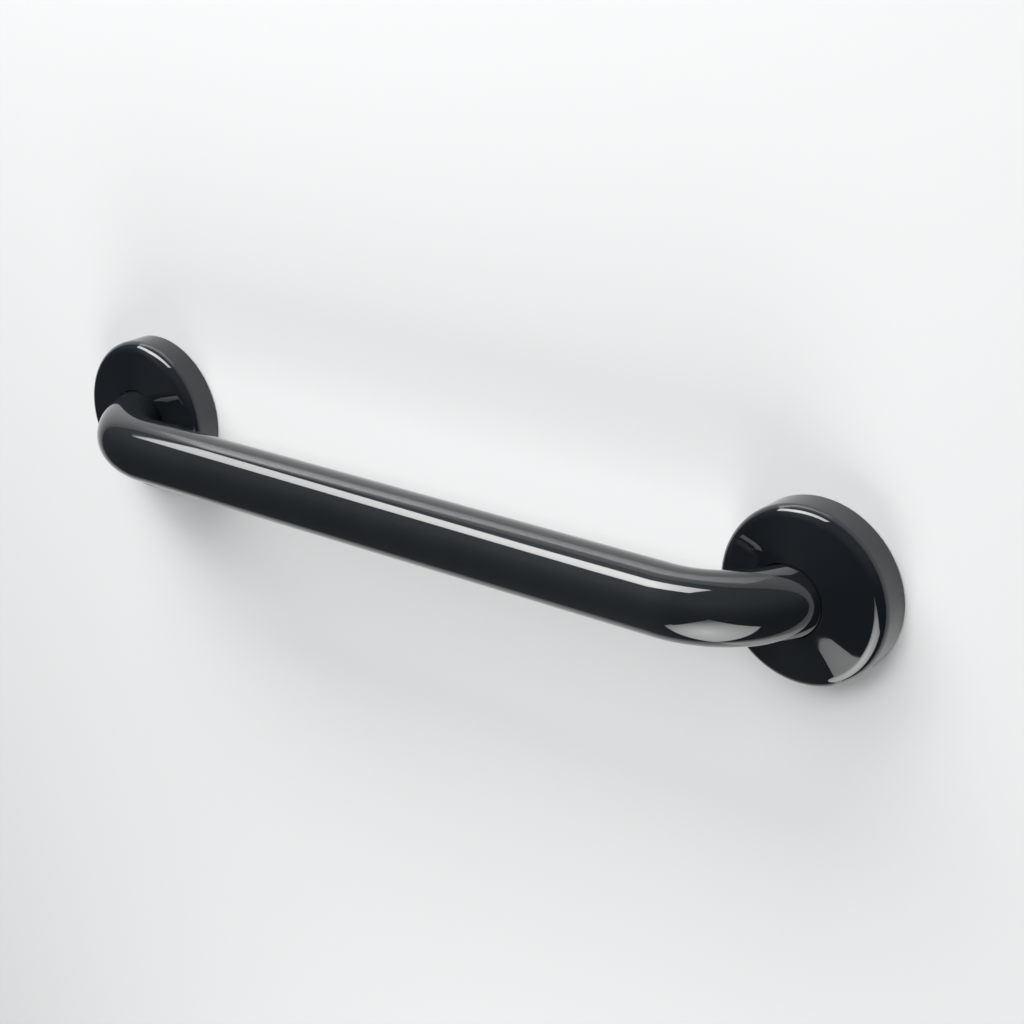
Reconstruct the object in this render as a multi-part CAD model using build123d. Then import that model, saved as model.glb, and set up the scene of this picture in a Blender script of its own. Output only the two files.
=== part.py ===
from build123d import *
import math
import os

# A short wall grab bar: a bent steel tube welded to two screw-on flanges, each hidden by a moulded
# rose cover with a shallow cone face.
# Frame: the wall is the plane Y = 0 and the bar stands off it towards -Y. The bar runs along X and
# +Z is up. The origin lies on the wall, midway between the two flange centres.
# Only the right-hand end is drawn. The left-hand end is its mirror image.

# Driving dimensions in millimetres and degrees: the bent tube
fixing_centres = 400.0  # from one flange centre to the other
tube_diameter = 31.8
tube_wall = 1.5
bend_radius = 44.0  # of the tube's axis
tube_end_recess = 0.3  # from the wall to the tube's cut end

# The wall flange
flange_thickness = 4.0
flange_edge_chamfer = 0.6
flange_fit = 0.1  # radial play between the tube and the flange's bore, which the weld closes
weld_leg = 2.0
screw_count = 3
screw_hole_diameter = 5.5
countersink_diameter = 10.5
countersink_angle = 90.0

# The rose cover
cover_diameter = 80.0
cover_wall = 2.0
cover_rim_height = 16.7  # from the wall to the corner where the rim meets the cone face
cover_face_angle = 11.0  # slope of the cone face
cover_edge_radius = 6.0
cover_lift = 0.3  # from the wall to the cover's back edge, so that the flange seats first
opening_gap = 0.5  # between the tube and the edge of the cover's opening
opening_lip_radius = 0.5

# The ribs inside the cover, which grip the flange's rim
rib_count = 6
rib_width = 1.6
rib_depth = 1.9
rib_clearance = 0.1
rib_overrun = 2.0  # how far a rib reaches past the flange's front

# Derived dimensions
tube_radius = tube_diameter / 2
leg_straight = flange_thickness + weld_leg  # the leg is straight through the flange and its weld
bar_projection = leg_straight + bend_radius  # from the wall to the bar's axis
cover_radius = cover_diameter / 2
cover_inner_radius = cover_radius - cover_wall
cover_inner_edge_radius = max(cover_edge_radius - cover_wall, cover_wall / 4)
flange_radius = cover_inner_radius - rib_depth - rib_clearance
flange_bore_radius = tube_radius + flange_fit
weld_radius = flange_bore_radius + weld_leg
screw_circle = weld_radius + flange_radius  # the holes lie midway between the weld and the rim
countersink_slope = math.tan(math.radians(countersink_angle / 2))
countersink_depth = (countersink_diameter - screw_hole_diameter) / 2 / countersink_slope

# End frame: local X points outwards along the bar, local Z points away from the wall
end_frame = Plane(origin=(fixing_centres / 2, 0, 0), x_dir=(1, 0, 0), z_dir=(0, -1, 0))
standing = (Align.CENTER, Align.CENTER, Align.MIN)


def bent_rod(radius, end_offset):
    """Round rod along the bar's axis: a leg, a bend, the bar, a bend and a leg."""
    half = fixing_centres / 2
    corners = [
        (-half, -end_offset),
        (-half, -bar_projection),
        (half, -bar_projection),
        (half, -end_offset),
    ]
    axis = FilletPolyline(*corners, radius=bend_radius)
    section = Plane(origin=axis @ 0, z_dir=axis % 0) * Circle(radius)
    return sweep(section, path=axis)


def bar_tube():
    """The hollow tube, open at both cut ends."""
    return bent_rod(tube_radius, tube_end_recess) - bent_rod(tube_radius - tube_wall, tube_end_recess)


def wall_flange():
    """Round plate with a bore for the leg, its weld bead and countersunk screw holes.

    One hole lies on the outer side and the others lie above and below the bar, where a driver
    passes beside the tube.
    """
    plate = Cylinder(flange_radius, flange_thickness, align=standing)
    front_rim = plate.edges().sort_by(Axis.Z)[-1]
    plate = chamfer(front_rim, flange_edge_chamfer)
    weld = Cone(weld_radius, flange_bore_radius, weld_leg, align=standing)
    plate += Pos(0, 0, flange_thickness) * weld
    plate -= Cylinder(flange_bore_radius, leg_straight, align=standing)
    hole = Cylinder(screw_hole_diameter / 2, flange_thickness, align=standing)
    sink = Cone(screw_hole_diameter / 2, countersink_diameter / 2, countersink_depth, align=standing)
    hole += Pos(0, 0, flange_thickness - countersink_depth) * sink
    for place in PolarLocations(screw_circle / 2, screw_count):
        plate -= place * hole
    return end_frame * plate


def cover_shell():
    """Turned form of the cover: a rim, a rounded edge and a cone face of even wall."""
    face_slope = math.tan(math.radians(cover_face_angle))
    face_wall = cover_wall / math.cos(math.radians(cover_face_angle))  # measured along the axis
    core = tube_radius / 2  # lies within the opening, which is cut later

    def face_height(radius):
        return cover_rim_height + (cover_radius - radius) * face_slope

    outer_corner = (cover_radius, cover_rim_height)
    inner_corner = (cover_inner_radius, face_height(cover_inner_radius) - face_wall)
    outline = Polyline(
        (cover_inner_radius, cover_lift),
        (cover_radius, cover_lift),
        outer_corner,
        (core, face_height(core)),
        (core, face_height(core) - face_wall),
        inner_corner,
        close=True,
    )
    profile = make_face(outline)
    for corner, radius in ((outer_corner, cover_edge_radius), (inner_corner, cover_inner_edge_radius)):
        profile = fillet(profile.vertices().sort_by_distance(corner)[0], radius)
    return revolve(Plane.XZ * profile, axis=Axis.Z)


def grip_ribs():
    """Ribs from the cover's wall to the flange's rim, spread evenly round the cover."""
    inner = flange_radius + rib_clearance
    outer = cover_inner_radius + cover_wall / 2
    height = flange_thickness + rib_overrun - cover_lift
    rib = Box(outer - inner, rib_width, height, align=standing)
    return [place * rib for place in PolarLocations((inner + outer) / 2, rib_count)]


def rose_cover():
    """The cover with its ribs and an opening that follows the bend of the leg.

    The bend cuts the cone along a free curve, so the front edge of the opening is the foremost
    spline, and its rounding runs on round the whole loop.
    """
    cover = cover_shell()
    for rib in grip_ribs():
        cover += Pos(0, 0, cover_lift) * rib
    cover = end_frame * cover
    cover -= bent_rod(tube_radius + opening_gap, 0)
    lip = cover.edges().filter_by(GeomType.BSPLINE).sort_by(Axis.Y)[0]
    return fillet(lip, opening_lip_radius)


right_flange = wall_flange()
right_cover = rose_cover()
nodes = {
    "bar_tube": bar_tube(),
    "right_flange": right_flange,
    "right_cover": right_cover,
    "left_flange": mirror(right_flange, about=Plane.YZ),
    "left_cover": mirror(right_cover, about=Plane.YZ),
}

os.makedirs("parts", exist_ok=True)
for name, solid in nodes.items():
    export_step(solid, f"parts/{name}.step")
    print(f"{name}: {solid.volume / 1000:.2f} cm3")
print(f"bar axis {bar_projection:.1f} mm from the wall, screw circle {screw_circle:.2f} mm")
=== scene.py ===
# %% [markdown]
# # A gloss black grab bar on a pale wall
# The object is a short wall bar: one bent tube, and at each end a round rose that covers the
# screwed flange. All that shows of it is gloss black, so what the eye reads is not colour but
# reflections: two lamps, the pale wall and the bar's own parts, mirrored in smooth lacquer.
# That is why this lesson is mostly about exact surfaces. A mirror finish shows every facet, so
# the tube and the roses are worked out as formulas, with their true normals, round the CAD frame.

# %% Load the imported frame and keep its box
import math
import bpy
import numpy as np
from mathutils import Matrix, Vector


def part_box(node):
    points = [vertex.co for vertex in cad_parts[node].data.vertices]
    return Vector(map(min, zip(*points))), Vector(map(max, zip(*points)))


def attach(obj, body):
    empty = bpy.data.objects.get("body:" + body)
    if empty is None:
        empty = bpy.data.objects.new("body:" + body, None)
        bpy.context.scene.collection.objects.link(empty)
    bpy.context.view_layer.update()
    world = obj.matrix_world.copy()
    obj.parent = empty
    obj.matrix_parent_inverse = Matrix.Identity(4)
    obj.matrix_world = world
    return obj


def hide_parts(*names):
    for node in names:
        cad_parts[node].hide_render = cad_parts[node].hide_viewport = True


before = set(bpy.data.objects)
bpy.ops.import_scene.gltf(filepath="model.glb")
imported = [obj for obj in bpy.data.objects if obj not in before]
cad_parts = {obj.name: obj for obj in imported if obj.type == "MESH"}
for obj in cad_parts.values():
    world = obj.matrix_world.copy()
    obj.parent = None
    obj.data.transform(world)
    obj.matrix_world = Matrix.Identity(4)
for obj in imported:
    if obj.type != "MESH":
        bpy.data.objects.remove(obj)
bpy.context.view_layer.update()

MM = 0.001
MICRON = 0.001 * MM
print("nodes", sorted(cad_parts))

# %% [markdown]
# ## Sizes
# The places come from the CAD nodes' own boxes, so the pieces sit exactly where the solids are.
# Only what a box can't tell, such as a wall thickness or a rounding, is written here as a number.
# The frame is the CAD's: the wall is the plane Y = 0, the bar stands off towards -Y, +Z is up.

# %% Read the sizes from the nodes
tube_low, tube_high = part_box("bar_tube")
rose_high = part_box("right_cover")[1]
flange_low, flange_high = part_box("right_flange")

tube_radius = tube_high.z
half_centres = (flange_low.x + flange_high.x) / 2
bar_offset = -(tube_low.y + tube_radius)      # from the wall to the bar's axis
tube_end = -tube_high.y                       # from the wall to the tube's cut end
rose_radius = rose_high.z
rose_lift = -rose_high.y                      # from the wall to the rose's back edge
flange_radius = flange_high.z
flange_front = -flange_low.y                  # top of the weld, where the bend starts

tube_wall = 1.5 * MM
bend_radius = bar_offset - flange_front
rose_wall = 2.0 * MM
rose_rim_height = 16.7 * MM                   # corner where the rim meets the cone face
rose_face_angle = math.radians(11.0)
rose_edge_radius = 6.0 * MM
opening_gap = 0.3 * MM                        # the fine dark line between the tube and the rose
lip_size = 0.6 * MM
print(f"tube radius {tube_radius / MM:.2f} mm, bend radius {bend_radius / MM:.2f} mm")
print(f"rose radius {rose_radius / MM:.2f} mm, flange radius {flange_radius / MM:.2f} mm")

# %% [markdown]
# ## From a grid of points to a mesh
# The tube and each rose are a grid that closes on itself both ways, like a ring: one way runs
# round the axis, the other along a closed profile. A grid like that has no open edge, seam or
# pole. The normals are worked out with the points and given to the mesh, because normals averaged
# from neighbouring faces bend a mirror image near every rounding.

# %% Helpers that turn points into a mesh piece
def new_piece(name, points, faces):
    """Smooth mesh object at the origin, from its points and faces."""
    mesh = bpy.data.meshes.new(name)
    mesh.from_pydata(points, [], faces)
    mesh.polygons.foreach_set("use_smooth", np.ones(len(faces), bool))
    mesh.update()
    piece = bpy.data.objects.new(name, mesh)
    bpy.context.scene.collection.objects.link(piece)
    return piece


def ring_grid_mesh(name, points, normals, row_slots, flip=False):
    """Mesh of a grid of shape (rows, columns, 3) that closes in both directions.

    Face (i, j) joins points (i, j), (i+1, j), (i+1, j+1), (i, j+1), with indices that wrap, and
    takes the material slot of its row.
    """
    rows, columns = points.shape[:2]
    index = np.arange(rows * columns).reshape(rows, columns)
    down, across = np.roll(index, -1, 0), np.roll(index, -1, 1)
    both = np.roll(down, -1, 1)
    quads = np.stack([index, down, both, across], -1).reshape(-1, 4)
    if flip:
        quads = quads[:, ::-1]
    piece = new_piece(name, points.reshape(-1, 3), quads)
    slots = np.repeat(row_slots, columns).astype(np.int32)
    piece.data.polygons.foreach_set("material_index", slots)
    piece.data.normals_split_custom_set_from_vertices(normals.reshape(-1, 3))
    piece.data.update()
    print(f"{name}: {rows} x {columns} points, {2 * len(quads)} triangles")
    return piece


def unit(vectors):
    """Vectors scaled to length 1 along the last axis."""
    return vectors / np.linalg.norm(vectors, axis=-1, keepdims=True)


# %% [markdown]
# ## The bent tube
# On the real bar this is a steel tube of about 32 mm, bent cold at both ends and lacquered. It
# could be a curve with a bevel, but a curve's bevel is coarse in the bends and gives no control
# over its normals. So the tube is a circle carried along a path: straight bar, quarter bend,
# short leg. The same circle, smaller, runs back inside, and small chamfers close the cut ends.

# %% The tube's path
straight_run = half_centres - bend_radius
bend_run = straight_run + bend_radius * math.pi / 2
path_end = bend_run + (bar_offset - bend_radius) - tube_end
print(f"the tube's axis is {2 * path_end / MM:.1f} mm long")


def bar_path(distance):
    """Point, outward direction and direction of the axis at a signed distance from the bar's middle.

    Up to straight_run the axis follows the bar, then a quarter circle of bend_radius, then the
    leg to the wall. The outward direction points away from the bend's centre, and turns with it.
    """
    reach = np.abs(distance)
    side = np.where(distance < 0, -1.0, 1.0)
    angle = np.clip((reach - straight_run) / bend_radius, 0, math.pi / 2)
    leg = np.clip(reach - bend_run, 0, None)
    x = np.minimum(reach, straight_run) + bend_radius * np.sin(angle)
    y = -bar_offset + bend_radius * (1 - np.cos(angle)) + leg
    level = np.zeros_like(x)
    point = np.stack([side * x, y, level], -1)
    outward = np.stack([side * np.sin(angle), -np.cos(angle), level], -1)
    along = np.stack([np.cos(angle), side * np.sin(angle), level], -1)
    return point, outward, along


# %% [markdown]
# The profile is one closed line in two numbers, a distance along the path and a radius: along the
# outside, over one cut end, back along the inside and over the other. A bend needs many stations
# and a straight run only a few. A chamfer's normal leans both ways, out from the tube and along it.

# %% The tube's profile along its path
end_chamfer = 0.25 * MM
end_lean = 0.4                                # how far a cut end's normal leans to its edge
straight_steps, bend_steps, leg_steps = 24, 72, 3
half_stations = np.unique(np.concatenate([
    np.linspace(0, straight_run, straight_steps + 1),
    np.linspace(straight_run, bend_run, bend_steps + 1),
    np.linspace(bend_run, path_end - end_chamfer, leg_steps + 1),
]))
stations = np.concatenate([-half_stations[:0:-1], half_stations])
count = len(stations)
inner_radius = tube_radius - tube_wall
outer_edge, inner_edge = tube_radius - end_chamfer, inner_radius + end_chamfer
profile_distance = np.concatenate([stations, [path_end] * 2, stations[::-1], [-path_end] * 2])
profile_radius = np.concatenate([
    np.full(count, tube_radius), [outer_edge, inner_edge],
    np.full(count, inner_radius), [inner_edge, outer_edge],
])
lean_out = np.concatenate([np.ones(count), [end_lean, -end_lean], -np.ones(count), [-end_lean, end_lean]])
lean_along = np.zeros_like(lean_out)
lean_along[count:count + 2] = 1.0
lean_along[-2:] = -1.0
print(f"the tube's profile has {len(profile_distance)} points")

# %% The tube's skin, inside and out
tube_columns = 160
turn = np.linspace(0, 2 * math.pi, tube_columns, endpoint=False)
axis_point, axis_out, axis_along = bar_path(profile_distance)
spoke = (np.cos(turn)[None, :, None] * axis_out[:, None, :]
         + np.sin(turn)[None, :, None] * np.array([0.0, 0.0, 1.0]))
tube_points = axis_point[:, None, :] + profile_radius[:, None, None] * spoke
tube_normals = unit(lean_out[:, None, None] * spoke + lean_along[:, None, None] * axis_along[:, None, :])
bare_rows = np.arange(len(profile_distance)) >= count - 1      # cut ends and inside
bar = ring_grid_mesh("bar", tube_points, tube_normals, bare_rows)
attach(bar, "root")
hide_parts("bar_tube")

# %% [markdown]
# ## The rose's profile
# A rose is a thin moulded cap: a straight rim, a rounded edge and a face that rises gently to the
# tube as a shallow cone. It could be turned with Spin, but its opening isn't round: the tube is
# already bending where it leaves the face, so the hole's edge wanders in and out round the axis.
# The profile is therefore worked out again for each direction round the axis, from the hole's
# edge over the face and rim, and back inside to the hole.

# %% Where the tube's clearance meets a height or a cone
face_slope = math.tan(rose_face_angle)
face_wall = rose_wall / math.cos(rose_face_angle)
opening_radius = tube_radius + opening_gap
halvings = 50


def distance_to_axis(out, height, up):
    """Distance from the tube's axis, in the rose's own frame: out along X, height off the wall, up."""
    rise = np.clip(height - flange_front, 0, None)
    in_plane = np.hypot(out + bend_radius, rise) - bend_radius
    return np.hypot(in_plane, up)


def opening_reach(angle, height_of):
    """Reach from the rose's axis to the clearance round the tube, found by halving an interval.

    height_of(reach) gives the height at which to look, so the same search serves the outer cone,
    the inner cone and any level between them.
    """
    near, far = np.zeros_like(angle), np.full_like(angle, rose_radius)
    for _ in range(halvings):
        middle = (near + far) / 2
        out, up = middle * np.cos(angle), middle * np.sin(angle)
        inside = distance_to_axis(out, height_of(middle), up) < opening_radius
        near, far = np.where(inside, middle, near), np.where(inside, far, middle)
    return (near + far) / 2


def outer_face(reach):
    """Height of the cone face at a reach from the axis."""
    return rose_rim_height + (rose_radius - reach) * face_slope


def inner_face(reach):
    """Height of the inside of the cone face, one wall lower."""
    return outer_face(reach) - face_wall


rose_columns = 384
around = np.linspace(0, 2 * math.pi, rose_columns, endpoint=False)
edge_reach = opening_reach(around, outer_face)
edge_height = outer_face(edge_reach)
under_reach = opening_reach(around, inner_face)
under_height = inner_face(under_reach)
print(f"opening reaches {edge_reach.min() / MM:.2f} to {edge_reach.max() / MM:.2f} mm from the axis")


# %% [markdown]
# A rounded corner between two straight lines is an arc whose ends touch both lines. The same
# small function gives the edge of the face outside, the smaller one inside, and the two tiny
# roundings of the back edge.

# %% Arcs and straight runs of the rose's profile
def corner_arc(centre_reach, centre_height, radius, first, last, steps, inside=False):
    """Arc as columns of reach, height and normal; angles run from the radial direction to the axis."""
    angle = np.radians(np.linspace(first, last, steps))
    sign = -1.0 if inside else 1.0
    return np.stack([
        centre_reach + radius * np.cos(angle), centre_height + radius * np.sin(angle),
        sign * np.cos(angle), sign * np.sin(angle),
    ], -1)


def tangent_height(corner_height, radius):
    """Height of an arc's centre between an upright wall and the cone, below their sharp corner."""
    return corner_height + radius * face_slope - radius / math.cos(rose_face_angle)


face_end = 90 - math.degrees(rose_face_angle)
inner_rose_radius = rose_radius - rose_wall
inner_edge_radius = rose_edge_radius - rose_wall
back_round = 0.3 * MM
back_height = rose_lift + back_round
edge_steps, inner_edge_steps, back_steps = 40, 16, 6
rim_arc = corner_arc(rose_radius - rose_edge_radius, tangent_height(rose_rim_height, rose_edge_radius),
                     rose_edge_radius, face_end, 0, edge_steps)
back_outer = corner_arc(rose_radius - back_round, back_height, back_round, 0, -90, back_steps)
back_inner = corner_arc(inner_rose_radius + back_round, back_height, back_round, -90, -180, back_steps)
inner_arc = corner_arc(inner_rose_radius - inner_edge_radius,
                       tangent_height(inner_face(inner_rose_radius), inner_edge_radius),
                       inner_edge_radius, 0, face_end, inner_edge_steps, inside=True)
turned = np.concatenate([rim_arc, back_outer, back_inner, inner_arc])
print(f"the turned part of the profile has {len(turned)} points")

# %% [markdown]
# Now the rows of the rose's grid can be listed in order, each with a reach, a height and a normal
# for every direction round the axis. Where a row lies on the hole's wall, its normal faces the
# tube's axis, and over the lip it turns from that wall to the face.

# %% The rows of the rose's grid
face_normal = np.array([math.sin(rose_face_angle), math.cos(rose_face_angle)])
face_rows, inner_face_rows, hole_rows, lip_steps = 13, 7, 4, 8


def rose_rows():
    """Reach, height, outward and forward parts of the normal, and the hole wall's share of it.

    Rows run over the cone face from the lip to the rounded edge, the turned profile, the inner cone
    back to the hole, the hole's wall, and the lip, which is a curve of the second degree between the
    wall and the face: (1-s)^2 * start + 2s(1-s) * corner + s^2 * end.
    """
    rows = []

    def add(*values):
        rows.append([np.broadcast_to(np.asarray(value, float), (rose_columns,)) for value in values])

    lip_start = edge_reach + lip_size
    for share in np.linspace(0, 1, face_rows, endpoint=False):
        reach = lip_start + (turned[0, 0] - lip_start) * share
        add(reach, outer_face(reach), *face_normal, 0.0)
    for reach, height, out_normal, high_normal in turned:
        add(reach, height, out_normal, high_normal, 0.0)
    for share in np.linspace(0, 1, inner_face_rows + 1)[1:]:
        reach = turned[-1, 0] + (under_reach - turned[-1, 0]) * share
        add(reach, inner_face(reach), *-face_normal, 1.0 if share == 1 else 0.0)
    lip_depth = edge_height - lip_size
    for share in np.linspace(0, 1, hole_rows + 1)[1:]:
        level = under_height + (lip_depth - under_height) * share
        add(opening_reach(around, lambda _: level), level, 0, 0, 1.0)
    low_reach = opening_reach(around, lambda _: lip_depth)
    for share in np.linspace(0, 1, lip_steps + 1)[1:-1]:
        start, corner, end = (1 - share) ** 2, 2 * share * (1 - share), share ** 2
        add(start * low_reach + corner * edge_reach + end * lip_start,
            start * lip_depth + corner * edge_height + end * outer_face(lip_start),
            *share * face_normal, 1 - share)
    return np.moveaxis(np.array(rows), 1, 0)


# %% The rose's surface as one closed grid
def rose_surface(reach, height, out_normal, high_normal, wall_share):
    """Points and normals of the right rose, from its rows.

    A point lies at reach times the cosine and sine of its direction. The hole's wall faces the
    tube's axis: in the bend's plane that is the way to the bend's circle, and across it the height.
    """
    cos, sin = np.cos(around), np.sin(around)
    out, up = reach * cos, reach * sin
    points = np.stack([half_centres + out, -height, up], -1)
    normals = np.stack([out_normal * cos, -high_normal, out_normal * sin], -1)
    rise = np.clip(height - flange_front, 0, None)
    swing = np.hypot(out + bend_radius, rise)
    in_plane = swing - bend_radius
    from_axis = np.stack([in_plane * (out + bend_radius) / swing, -in_plane * rise / swing, up], -1)
    return points, unit(normals - wall_share[..., None] * unit(from_axis))


rose_points, rose_normals = rose_surface(*rose_rows())
first_inside = face_rows + len(rim_arc) + len(back_outer)
inside_count = len(back_inner) + len(inner_arc) + inner_face_rows - 1
rose_row = np.arange(len(rose_points))
rose_inside = (rose_row >= first_inside) & (rose_row < first_inside + inside_count)
mirror_x = np.array([-1.0, 1.0, 1.0])
right_rose = ring_grid_mesh("right_rose", rose_points, rose_normals, rose_inside)
left_rose = ring_grid_mesh("left_rose", rose_points * mirror_x, rose_normals * mirror_x, rose_inside,
                           flip=True)
for rose, node in ((right_rose, "right_cover"), (left_rose, "left_cover")):
    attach(rose, "root")
    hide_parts(node)

# %% [markdown]
# ## The gripping ribs
# Inside each rose six small ribs press on the flange's rim and hold the cap on. They show only
# from behind, in the gap round the flange. A cube with a bevel would do, but a rounded box is
# also one formula: a sphere whose sines and cosines are raised to a small power, which pushes
# the surface out into the corners. The two poles are single points, so nothing is left open.

# %% A rounded box
def signed_power(values, power):
    """Sign of a value times its size raised to a power."""
    return np.sign(values) * np.abs(values) ** power


def rounded_box(size, steps=20, power=0.22):
    """Points, quads and end triangles of a superquadric box round the origin.

    x and y are half the size * cos(latitude)^p * cos or sin(longitude)^p, and z is half the size *
    sin(latitude)^p. The rings come first, then the lower and the upper pole.
    """
    columns = 2 * steps
    latitude = np.linspace(-math.pi / 2, math.pi / 2, steps + 1)[1:-1, None]
    longitude = np.linspace(0, 2 * math.pi, columns, endpoint=False)[None, :]
    waist = signed_power(np.cos(latitude), power)
    rings = np.stack(np.broadcast_arrays(
        waist * signed_power(np.cos(longitude), power), waist * signed_power(np.sin(longitude), power),
        signed_power(np.sin(latitude), power)), -1).reshape(-1, 3)
    points = np.concatenate([rings, [[0, 0, -1]], [[0, 0, 1]]]) * np.array(size) / 2
    index = np.arange(len(rings)).reshape(-1, columns)
    across = np.roll(index, -1, 1)
    quads = np.stack([index[:-1], across[:-1], across[1:], index[1:]], -1).reshape(-1, 4)
    lower = np.stack([np.full(columns, len(rings)), across[0], index[0]], -1)
    upper = np.stack([np.full(columns, len(rings) + 1), index[-1], across[-1]], -1)
    return points, quads, np.concatenate([lower, upper])


# %% The ribs inside both roses
rib_count = 6
rib_width = 1.6 * MM
rib_clearance = 0.1 * MM                      # between a rib and the flange
rib_root = rose_wall / 2                      # how far a rib runs into the rose's wall
rib_from, rib_to = flange_radius + rib_clearance, inner_rose_radius + rib_root
rib_height = flange_front - rose_lift


def rib_ring(name, side):
    """Ribs spread evenly round a rose; side is +1 for the right rose and -1 for the left."""
    points, quads, caps = rounded_box((rib_to - rib_from, rib_height, rib_width))
    points = points + np.array([(rib_from + rib_to) / 2, -(rose_lift + rib_height / 2), 0])
    angles = np.arange(rib_count) * 2 * math.pi / rib_count
    cos, sin = np.cos(angles)[:, None], np.sin(angles)[:, None]
    spread = np.stack([side * (half_centres + points[:, 0] * cos - points[:, 2] * sin),
                       np.broadcast_to(points[:, 1], (rib_count, len(points))),
                       points[:, 0] * sin + points[:, 2] * cos], -1)
    # the left side mirrors the box, which turns its faces over, so there they run the other way round
    order = slice(None) if side > 0 else slice(None, None, -1)
    first_point = (np.arange(rib_count) * len(points))[:, None, None]
    faces = [*(quads[:, order] + first_point).reshape(-1, 4).tolist(),
             *(caps[:, order] + first_point).reshape(-1, 3).tolist()]
    piece = new_piece(name, spread.reshape(-1, 3), faces)
    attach(piece, "root")
    print(f"{name}: {rib_count} ribs, {len(faces)} faces")
    return piece


right_ribs = rib_ring("right_ribs", 1.0)
left_ribs = rib_ring("left_ribs", -1.0)

# %% [markdown]
# ## Helpers for node materials
# A material here is a small chain of nodes: a pattern on Object coordinates, a node that spreads
# the pattern's values over a range, and a socket of the shader. Wiring each chain by hand hides
# what it is for, so a few helpers make one link each.

# %% Shader, pattern and range helpers
def new_material(name):
    """Node material, with its nodes, its links and its principled shader."""
    material = bpy.data.materials.new(name)
    material.use_nodes = True
    tree = material.node_tree
    return material, tree.nodes, tree.links, tree.nodes["Principled BSDF"]


def noise_on_object(nodes, links, scale, detail, stretch=(1.0, 1.0, 1.0)):
    """Noise texture on Object coordinates, stretched by a Mapping node."""
    coordinates = nodes.new("ShaderNodeTexCoord")
    mapping = nodes.new("ShaderNodeMapping")
    mapping.inputs["Scale"].default_value = stretch
    noise = nodes.new("ShaderNodeTexNoise")
    noise.inputs["Scale"].default_value = scale
    noise.inputs["Detail"].default_value = detail
    links.new(coordinates.outputs["Object"], mapping.inputs["Vector"])
    links.new(mapping.outputs["Vector"], noise.inputs["Vector"])
    return noise.outputs["Fac"]


def map_range(nodes, links, source, start, end, low, high):
    """Map Range node that spreads a value from start..end to low..high."""
    node = nodes.new("ShaderNodeMapRange")
    for socket, value in zip(("From Min", "From Max", "To Min", "To Max"), (start, end, low, high)):
        node.inputs[socket].default_value = value
    links.new(source, node.inputs["Value"])
    return node


def spread_values(nodes, links, source, low, high, socket, start=0.3, end=0.7):
    """Send a pattern's value to a socket, spread from low to high."""
    links.new(map_range(nodes, links, source, start, end, low, high).outputs["Result"], socket)


# %% Bump, colour and arithmetic helpers
def bump(nodes, links, height, distance, shader):
    """Bump of a height field, with its depth in metres."""
    node = nodes.new("ShaderNodeBump")
    node.inputs["Strength"].default_value = 1.0
    node.inputs["Distance"].default_value = distance
    links.new(height, node.inputs["Height"])
    links.new(node.outputs["Normal"], shader.inputs["Normal"])


def ramp(nodes, links, source, stops, socket):
    """Colour ramp from (place, colour) stops into a socket."""
    node = nodes.new("ShaderNodeValToRGB")
    elements = node.color_ramp.elements
    for element, (place, colour) in zip(elements, (stops[0], stops[-1])):
        element.position, element.color = place, (*colour, 1)
    for place, colour in stops[1:-1]:
        elements.new(place).color = (*colour, 1)
    links.new(source, node.inputs["Fac"])
    links.new(node.outputs["Color"], socket)


def math_node(nodes, links, operation, *values):
    """Result of a Math node; each value is a number or another node's output."""
    node = nodes.new("ShaderNodeMath")
    node.operation = operation
    for socket, value in zip(node.inputs, values):
        if isinstance(value, (int, float)):
            socket.default_value = value
        else:
            links.new(value, socket)
    return node.outputs[0]


# %% [markdown]
# ## Gloss black finishes
# The tube is coated black and polished; the roses are moulded, deeper black and a little
# smoother. Both are a dark body under a clear, mirror-like skin. A flat black with zero
# roughness looks like glass, because no real coat is that even: it has a slow waviness called
# orange peel, about a thousandth of a millimetre deep, and faint wiping marks that change the
# gloss from place to place. Noise on Object coordinates gives both.

# %% Gloss black for the tube and the roses
lacquer_ior = 1.6


def gloss_black(name, dark, light, gloss, peel_depth, wipe):
    """Black coat: body colour between two near blacks, gloss range, orange peel depth, wiping stretch."""
    material, nodes, links, shader = new_material(name)
    shader.inputs["IOR"].default_value = lacquer_ior
    shade = noise_on_object(nodes, links, 30.0, 3.0)
    ramp(nodes, links, shade, [(0.35, dark), (0.65, light)], shader.inputs["Base Color"])
    marks = noise_on_object(nodes, links, 90.0, 5.0, stretch=wipe)
    spread_values(nodes, links, marks, *gloss, shader.inputs["Roughness"])
    peel = noise_on_object(nodes, links, 420.0, 1.0)
    bump(nodes, links, peel, peel_depth, shader)
    return material


tube_black = gloss_black("tube_gloss_black", dark=(0.0090, 0.0114, 0.0134), light=(0.0108, 0.0136, 0.0160),
                         gloss=(0.030, 0.055), peel_depth=1.2 * MICRON, wipe=(0.15, 1.0, 1.0))
rose_black = gloss_black("rose_gloss_black", dark=(0.0046, 0.0066, 0.0090), light=(0.0056, 0.0080, 0.0108),
                         gloss=(0.020, 0.035), peel_depth=0.6 * MICRON, wipe=(1.0, 1.0, 1.0))
print("gloss blacks:", tube_black.name, rose_black.name)

# %% [markdown]
# ## Finishes that only show from behind
# Inside, the rose is as it left the mould: the same black, but satin, with the fine grain of
# the tool. The tube's cut end and bore are bare steel with saw and draw marks along the tube.

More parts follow.
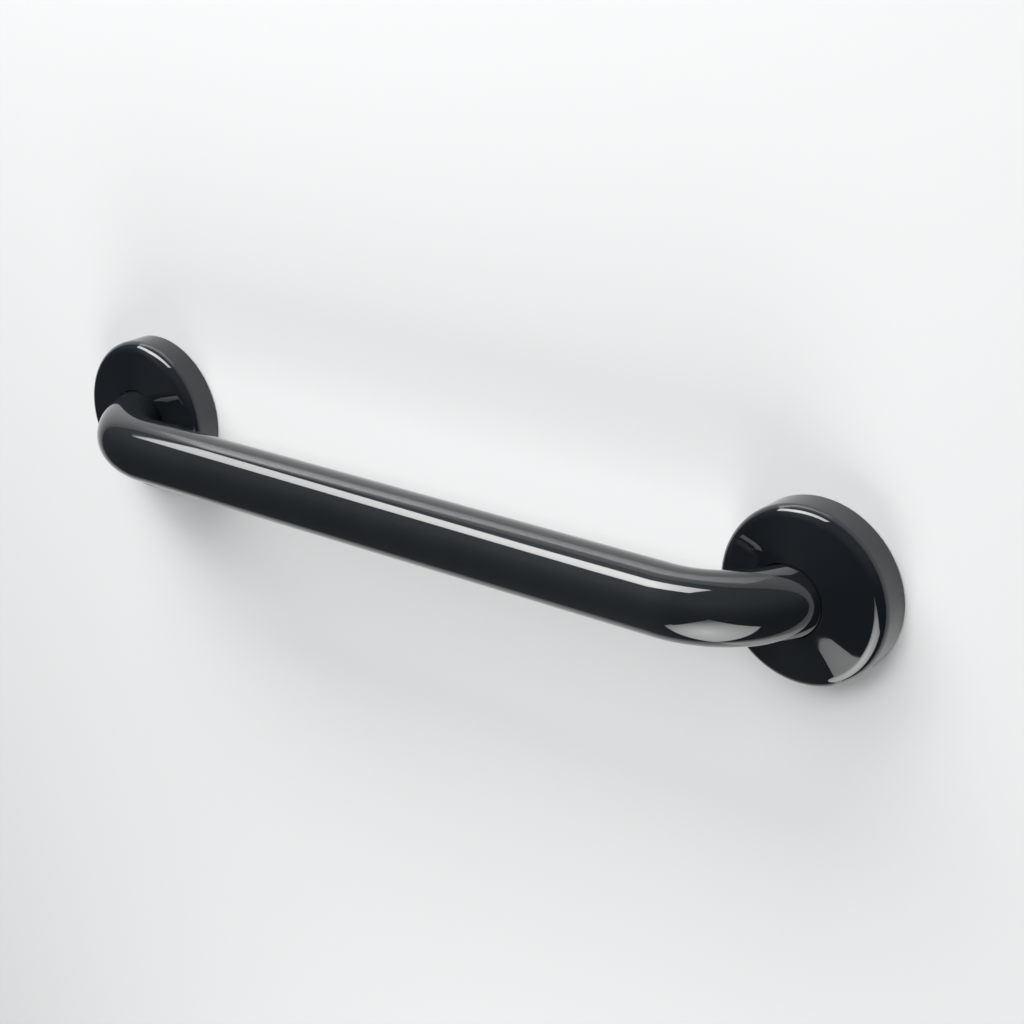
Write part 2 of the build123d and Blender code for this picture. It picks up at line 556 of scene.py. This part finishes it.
# %% Moulded inside and bare steel
moulded_black, nodes, links, shader = new_material("moulded_black")
shader.inputs["IOR"].default_value = 1.5
grain = noise_on_object(nodes, links, 2400.0, 3.0)
ramp(nodes, links, grain, [(0.3, (0.012, 0.013, 0.014)), (0.7, (0.022, 0.024, 0.026))],
     shader.inputs["Base Color"])
spread_values(nodes, links, grain, 0.42, 0.60, shader.inputs["Roughness"])
bump(nodes, links, grain, 20 * MICRON, shader)

bare_steel, nodes, links, shader = new_material("bare_tube_steel")
shader.inputs["Metallic"].default_value = 1.0
drawn = noise_on_object(nodes, links, 900.0, 4.0, stretch=(1.0, 0.06, 1.0))
ramp(nodes, links, drawn, [(0.3, (0.30, 0.29, 0.28)), (0.7, (0.52, 0.51, 0.50))],
     shader.inputs["Base Color"])
spread_values(nodes, links, drawn, 0.30, 0.50, shader.inputs["Roughness"])
bump(nodes, links, drawn, 10 * MICRON, shader)
print("hidden finishes:", moulded_black.name, bare_steel.name)

# %% Finishes on their pieces
for piece, finishes in ((bar, (tube_black, bare_steel)), (right_rose, (rose_black, moulded_black)),
                        (left_rose, (rose_black, moulded_black)), (right_ribs, (moulded_black,)),
                        (left_ribs, (moulded_black,))):
    for finish in finishes:
        piece.data.materials.append(finish)
    print(piece.name, "gets", [finish.name for finish in finishes])

# %% [markdown]
# ## The flange's turned steel
# The two flanges are turned plates, welded round the tube and zinc plated. Turning leaves fine
# rings about the plate's own axis, so the ring pattern needs a centre: a Mapping node moves the
# origin of the Object coordinates there, and a wave texture counts rings outwards. Plating clouds
# the colour a little. The CAD nodes keep their shape and only take this material.

# %% Turned and plated steel for the flanges
def plated_steel(name, centre_x):
    """Zinc plated steel with turning rings about an axis through centre_x."""
    material, nodes, links, shader = new_material(name)
    shader.inputs["Metallic"].default_value = 1.0
    coordinates = nodes.new("ShaderNodeTexCoord")
    centred = nodes.new("ShaderNodeMapping")
    centred.inputs["Location"].default_value = (-centre_x, 0.0, 0.0)
    rings = nodes.new("ShaderNodeTexWave")
    rings.wave_type, rings.rings_direction = "RINGS", "Y"
    rings.inputs["Scale"].default_value = 450.0
    rings.inputs["Distortion"].default_value = 1.2
    rings.inputs["Detail"].default_value = 2.0
    links.new(coordinates.outputs["Object"], centred.inputs["Vector"])
    links.new(centred.outputs["Vector"], rings.inputs["Vector"])
    clouds = noise_on_object(nodes, links, 60.0, 5.0)
    ramp(nodes, links, clouds,
         [(0.25, (0.46, 0.48, 0.52)), (0.5, (0.60, 0.61, 0.62)), (0.75, (0.66, 0.64, 0.58))],
         shader.inputs["Base Color"])
    spread_values(nodes, links, rings.outputs["Fac"], 0.24, 0.40, shader.inputs["Roughness"],
                  start=0.0, end=1.0)
    bump(nodes, links, rings.outputs["Fac"], 6 * MICRON, shader)
    return material


for end, side in (("right", 1.0), ("left", -1.0)):
    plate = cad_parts[end + "_flange"]
    plate.data.materials.clear()
    plate.data.materials.append(plated_steel("plated_steel_" + end, side * half_centres))
    print(end, "flange gets", plate.data.materials[0].name)

# %% [markdown]
# ## The wall
# The bar hangs on a smooth white wall panel, so here the wall is the pale ground. Its gloss
# matters: seen from the bar's top, the panel mirrors the lamp, and that makes the second, dimmer
# streak above the bright one. To the camera itself the panel is matt, because in some views its
# gloss would show a lamp as a hard white patch. In the mirror it is also a little paler, which
# makes up for lamps kept low enough that the panel doesn't burn out. The sheet shows only its
# front. From behind, and for rays that start right at the panel, it is clear, so the flanges'
# backs can be seen and lit.

# %% The wall's paint
wall_colour, wall_in_mirror = (0.85, 0.85, 0.848), (1.0, 1.0, 0.998)
clear_length = 0.7 * MM                       # rays shorter than this pass through the panel
wall_paint, nodes, links, shader = new_material("white_wall_panel")
shader.inputs["Roughness"].default_value = 0.14
shader.inputs["IOR"].default_value = 1.5
geometry = nodes.new("ShaderNodeNewGeometry")
light_path = nodes.new("ShaderNodeLightPath")
ramp(nodes, links, light_path.outputs["Is Glossy Ray"], [(0.0, wall_colour), (1.0, wall_in_mirror)],
     shader.inputs["Base Color"])
spread_values(nodes, links, light_path.outputs["Is Camera Ray"], 0.5, 0.0,
              shader.inputs["Specular IOR Level"], start=0.0, end=1.0)
close = math_node(nodes, links, "LESS_THAN", light_path.outputs["Ray Length"], clear_length)
passes = math_node(nodes, links, "MAXIMUM", close, geometry.outputs["Backfacing"])
clear = nodes.new("ShaderNodeBsdfTransparent")
blend = nodes.new("ShaderNodeMixShader")
for output, socket in zip((passes, shader.outputs[0], clear.outputs[0]), blend.inputs):
    links.new(output, socket)
links.new(blend.outputs[0], nodes["Material Output"].inputs["Surface"])
print("wall paint:", wall_paint.name)


# %% The wall panel
def stage_sheet(name, corners, material):
    """Flat sheet between corners, which belongs to the stage."""
    mesh = bpy.data.meshes.new(name)
    mesh.from_pydata(corners, [], [tuple(range(len(corners)))])
    mesh.materials.append(material)
    sheet = bpy.data.objects.new(name, mesh)
    bpy.context.scene.collection.objects.link(sheet)
    return sheet


wall_y, wall_half, wall_foot, wall_top = 0.3 * MM, 4.0, -3.0, 4.0
panel_edge = 0.325                            # the panel ends here; beyond it the bend mirrors a dim room


def wall_sheet(name, left, right):
    """Upright sheet in the wall's plane, from one x to another."""
    return stage_sheet(name, [(left, wall_y, wall_foot), (right, wall_y, wall_foot),
                              (right, wall_y, wall_top), (left, wall_y, wall_top)], wall_paint)


wall_sheet("wall", -wall_half, panel_edge)
wall_beyond = wall_sheet("wall_beyond", panel_edge, wall_half)
wall_beyond.visible_glossy = False
print("wall at y =", wall_y)

# %% [markdown]
# ## Light on the wall
# A long lamp hangs overhead, a smaller one stands low and a third fills in from the room. On the
# wall only their soft shadows count, so plain area lamps will do, and they are kept out of the
# mirror, because gloss black would show their hard rectangles. A real softbox is brightest in the
# middle, and the lamp's own flat coordinates give that fall to its edges. A fourth lamp, behind
# the wall, lights the flanges' backs.

# %% An area lamp that fades to its edges
def edge_fall(nodes, links, coordinate, amount):
    """1 - amount * d^2, where d runs from -1 to 1 along one of the lamp's flat coordinates."""
    distance = math_node(nodes, links, "MULTIPLY_ADD", coordinate, 2.0, -1.0)
    square = math_node(nodes, links, "MULTIPLY", distance, distance)
    return math_node(nodes, links, "MULTIPLY_ADD", square, -amount, 1.0)


def area_lamp(name, centre, across, half_across, down, half_down, radiance, fall=None):
    """Rectangular lamp that faces the frame's origin; its power is radiance * pi * area."""
    centre, across, down = Vector(centre), Vector(across).normalized(), Vector(down).normalized()
    back = across.cross(down)
    if back.dot(centre) < 0:
        down, back = -down, -back
    lamp = bpy.data.lights.new(name, "AREA")
    lamp.shape = "RECTANGLE"
    lamp.size, lamp.size_y = 2 * half_across, 2 * half_down
    lamp.energy = radiance * math.pi * lamp.size * lamp.size_y
    if fall:
        lamp.use_nodes = True
        nodes, links = lamp.node_tree.nodes, lamp.node_tree.links
        place = nodes.new("ShaderNodeNewGeometry")
        split = nodes.new("ShaderNodeSeparateXYZ")
        links.new(place.outputs["Parametric"], split.inputs[0])
        shares = [edge_fall(nodes, links, split.outputs[axis], amount) for axis, amount in zip("XY", fall)]
        links.new(math_node(nodes, links, "MULTIPLY", *shares), nodes["Emission"].inputs["Strength"])
    holder = bpy.data.objects.new(name, lamp)
    holder.matrix_world = Matrix.Translation(centre) @ Matrix((across, down, back)).transposed().to_4x4()
    holder.visible_camera = False
    bpy.context.scene.collection.objects.link(holder)
    print(f"{name}: {lamp.size:.2f} x {lamp.size_y:.2f} m, {lamp.energy:.0f} W")
    return holder


# %% The four lamps
overhead_fill = area_lamp("overhead_fill", centre=(-0.79, -0.63, 1.5), across=(1, 0, 0), half_across=1.06,
                          down=(0, 1, 0), half_down=0.35, radiance=9.2, fall=(0.45, 0.2))
low_fill = area_lamp("low_fill", centre=(0.18, -0.60, -0.90), across=(1, 0, 0), half_across=0.30,
                     down=(0, -0.83, 0.55), half_down=0.30, radiance=4.3)
room_fill = area_lamp("room_fill", centre=(0.3, -1.6, 1.2), across=(1, 0, 0), half_across=0.6,
                      down=(0, 0.6, 0.8), half_down=0.6, radiance=5.2)
for fill in (overhead_fill, low_fill, room_fill):
    fill.visible_glossy = False
area_lamp("back_fill", centre=(0.6, 1.6, 0.8), across=(0.936, -0.351, 0), half_across=0.8,
          down=(-0.14, -0.375, 0.917), half_down=0.6, radiance=0.8)

# %% [markdown]
# ## The softboxes that are only mirrored
# A gloss black thing is drawn by what it mirrors, so each softbox has its outline because of one
# reflection: the long one overhead is the streak along the bar and the thin arcs on the roses, the
# low one on the right is the bright lens under the bend and the wedge on the rose. Both hang
# askew, so the streak has a pointed left end and a slanted right one. An area lamp is always a
# rectangle or an ellipse, so these two are glowing sheets with as many corners as they need, seen
# by mirror rays alone. Their strength falls with the distance from a hot spot.

# %% A glowing sheet for the mirror
def mirrored_softbox(name, corners, hot_spot, strongest, weakest, reach):
    """Glowing sheet; its strength falls evenly with the distance from the hot spot, up to reach."""
    light = bpy.data.materials.new(name + "_light")
    light.use_nodes = True
    nodes, links = light.node_tree.nodes, light.node_tree.links
    nodes.remove(nodes["Principled BSDF"])
    glow = nodes.new("ShaderNodeEmission")
    where = nodes.new("ShaderNodeTexCoord")
    away = nodes.new("ShaderNodeVectorMath")
    away.operation = "DISTANCE"
    away.inputs[1].default_value = hot_spot
    links.new(where.outputs["Object"], away.inputs[0])
    spread_values(nodes, links, away.outputs["Value"], strongest, weakest, glow.inputs["Strength"],
                  start=0.0, end=reach)
    links.new(glow.outputs[0], nodes["Material Output"].inputs["Surface"])
    sheet = stage_sheet(name, corners, light)
    sheet.visible_camera = sheet.visible_diffuse = sheet.visible_shadow = False
    print(f"{name}: {len(corners)} corners, strength {strongest} to {weakest}")


# %% The overhead and the low softbox
overhead_height = 1.5
overhead_outline = [(-1.58, -0.12), (-1.00, -0.42), (-0.60, -0.40), (0.22, -0.37),
                    (0.04, -0.90), (-1.10, -1.15), (-1.90, -0.78)]
mirrored_softbox("overhead_softbox", [(x, y, overhead_height) for x, y in overhead_outline],
                 hot_spot=(-0.75, -0.75, overhead_height), strongest=13.5, weakest=6.8, reach=1.1)

low_centre = np.array([0.385, -0.639, -0.531])
low_across = np.array([-0.786, 0.285, -0.549])
low_down = np.array([-0.312, -0.949, -0.045])
low_outline = [(-0.60, 0.50), (0.32, 0.415), (0.34, 0.462), (0.525, 0.40), (0.535, -0.490), (-0.23, -0.455)]


def on_low_plane(across, down):
    """Point of the low softbox's plane, from its centre along its two directions."""
    return tuple(low_centre + across * low_across + down * low_down)


mirrored_softbox("low_softbox", [on_low_plane(*corner) for corner in low_outline],
                 hot_spot=on_low_plane(0.12, -0.10), strongest=7.4, weakest=1.1, reach=0.75)

# %% [markdown]
# ## The room
# What the bar mirrors between the lamps is the room in front of the wall: dim near the floor,
# paler towards the ceiling and darker to both sides. One even grey would make the bar look like
# painted card, so the strength follows the direction of the ray, by height through a curve and
# sideways by two ranges. Straight to the camera the room is plain and pale, so the back and the
# sides are seen on a pale ground too. Behind the wall it is half as pale as that, at any height.

# %% The room's light by direction
room_by_height = ((0.0, 0.13), (0.10, 0.13), (0.32, 0.11), (0.50, 0.15),
                  (0.62, 0.24), (0.72, 0.38), (0.82, 0.46), (1.0, 0.46))
pale_strength = 0.85
world = bpy.data.worlds.new("studio_room")
world.use_nodes = True
nodes, links = world.node_tree.nodes, world.node_tree.links
room = nodes["Background"]
direction = nodes.new("ShaderNodeTexCoord")
split = nodes.new("ShaderNodeSeparateXYZ")
links.new(direction.outputs["Generated"], split.inputs[0])

level = nodes.new("ShaderNodeFloatCurve")
height = map_range(nodes, links, split.outputs["Z"], start=-1.0, end=1.0, low=0.0, high=1.0)
links.new(height.outputs["Result"], level.inputs["Value"])
curve = level.mapping.curves[0]
for place, value in room_by_height[1:-1]:
    curve.points.new(place, value)
curve.points[0].location, curve.points[-1].location = room_by_height[0], room_by_height[-1]
level.mapping.update()
from_left = map_range(nodes, links, split.outputs["X"], start=-0.75, end=-0.52, low=0.55, high=1.2)
from_right = map_range(nodes, links, split.outputs["X"], start=-0.48, end=-0.15, low=1.0, high=0.5)
sideways = math_node(nodes, links, "MULTIPLY", from_left.outputs["Result"], from_right.outputs["Result"])
dim_room = math_node(nodes, links, "MULTIPLY", level.outputs[0], sideways)
print("room light by height", room_by_height)

# %% Pale behind the wall and to the camera
behind = map_range(nodes, links, split.outputs["Y"], start=0.20, end=0.45, low=0.0, high=0.5)
seen = nodes.new("ShaderNodeLightPath")
pale = math_node(nodes, links, "MAXIMUM", seen.outputs["Is Camera Ray"], behind.outputs["Result"])
strength = map_range(nodes, links, pale, start=0.0, end=1.0, low=0.0, high=pale_strength)
links.new(dim_room, strength.inputs["To Min"])
links.new(strength.outputs["Result"], room.inputs["Strength"])
ramp(nodes, links, pale, [(0.0, (0.88, 0.95, 1.0)), (1.0, (1.0, 1.0, 1.0))], room.inputs["Color"])
bpy.context.scene.world = world
print("world:", world.name)

# %% [markdown]
# ## The camera
# The camera's place and lens come from fitting the outlines of the two roses and the tube: three
# turns, a distance, a focal length in pixels, and the place of the frame's origin in the picture.
# A shifted lens would do the last of these, but it would stay shifted in every other view, so the
# whole camera is moved sideways instead.

# %% Camera
view_azimuth, view_elevation, view_roll = (math.radians(x) for x in (39.375, 21.611, -1.508))
focal_pixels = 2099.462
view_distance = 993.052 * MM
origin_right, origin_down = -58.303, -25.201      # the frame's origin, in pixels from the picture's middle
image_size = 1024

forward = -Vector((math.sin(view_azimuth) * math.cos(view_elevation),
                   -math.cos(view_azimuth) * math.cos(view_elevation), math.sin(view_elevation)))
level_right = forward.cross(Vector((0, 0, 1))).normalized()
level_up = level_right.cross(forward)
right = math.cos(view_roll) * level_right + math.sin(view_roll) * level_up
up = math.cos(view_roll) * level_up - math.sin(view_roll) * level_right
pixel = view_distance / focal_pixels
place = -origin_right * pixel * right + origin_down * pixel * up - view_distance * forward
camera_data = bpy.data.cameras.new("photo_camera")
camera_data.sensor_fit = "HORIZONTAL"
camera_data.sensor_width = 36.0
camera_data.lens = camera_data.sensor_width * focal_pixels / image_size
camera_data.clip_start = 0.01
camera = bpy.data.objects.new("photo_camera", camera_data)
camera.matrix_world = Matrix.Translation(place) @ Matrix((right, up, -forward)).transposed().to_4x4()
bpy.context.scene.collection.objects.link(camera)
bpy.context.scene.camera = camera
bpy.context.scene.view_settings.view_transform = "Standard"
print("camera at", [round(x, 4) for x in place], f"lens {camera_data.lens:.2f} mm")
